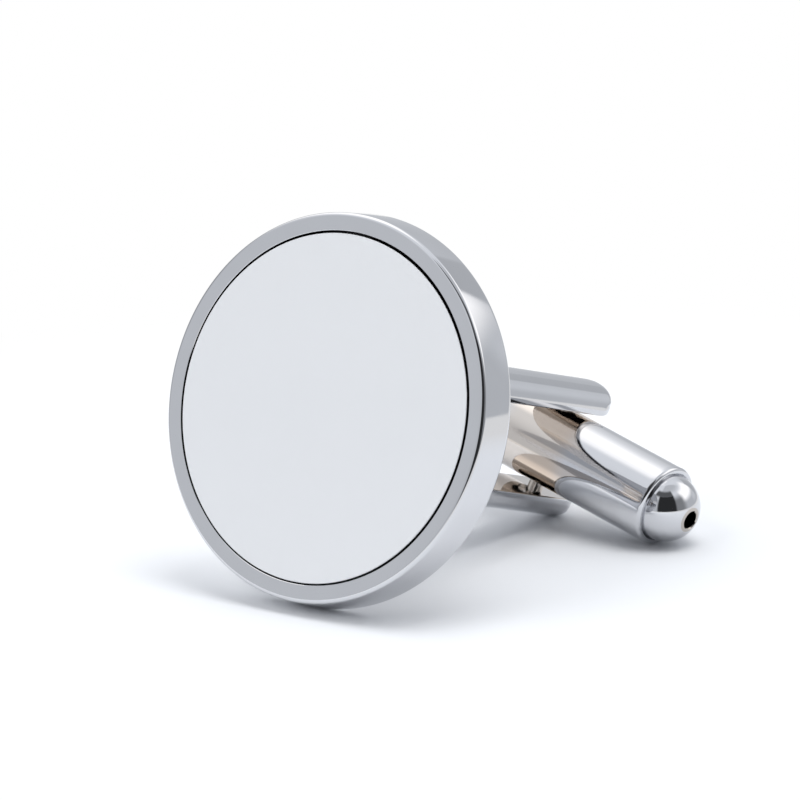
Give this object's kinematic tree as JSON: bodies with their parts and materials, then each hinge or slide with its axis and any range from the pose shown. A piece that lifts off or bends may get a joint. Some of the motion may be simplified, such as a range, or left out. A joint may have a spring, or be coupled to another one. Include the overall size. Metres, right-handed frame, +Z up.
{
  "type": "cufflink",
  "caption": "Round cufflink with a plain pale face set in a plated bezel, on a two-legged post with a turning bullet toggle.",
  "frame": {"origin": "on the table under the middle of the cufflink's box, as it lies on its rim, one leg and the toggle's nose", "axes": "+Z up from the table, +Y from the head's face backwards along the post in plan, +X to the side of the toggle's nose"},
  "size_m": [0.0186, 0.0222, 0.0178],
  "materials": {
    "plated_metal": "polished nickel and chrome plate",
    "insert_face": "smooth satin white coat on aluminium",
    "pin_steel": "drawn, plain",
    "spring_steel": "drawn music wire",
    "bare_brass": "turned, unplated",
    "solder": "dull tin solder",
    "glue": "clear-white adhesive pad"
  },
  "bodies": {
    "head": {"head_cup": "plated_metal", "face_insert": "insert_face", "glue_pad": "glue", "solder_joint": "solder", "stirrup": "plated_metal", "pivot_pin": "pin_steel"},
    "toggle": {"toggle_barrel": "plated_metal", "nose_plug": "plated_metal", "tail_cap": "plated_metal", "detent_spring": "spring_steel"},
    "follower": {"detent_follower": "bare_brass"}
  },
  "joints": [
    {"name": "toggle_turn", "type": "hinge", "parent": "head", "child": "toggle", "pos_m": [0.00064, 0.00814, 0.00368], "axis": [0.2657, 0.2983, 0.9167], "continuous": true},
    {"name": "follower_slide", "type": "slide", "parent": "toggle", "child": "follower", "axis": [0.964, -0.0822, -0.2527], "range_m": [-0.000195, 0], "stiffness_N_per_m": 800, "springref_m": -0.0004}
  ]
}
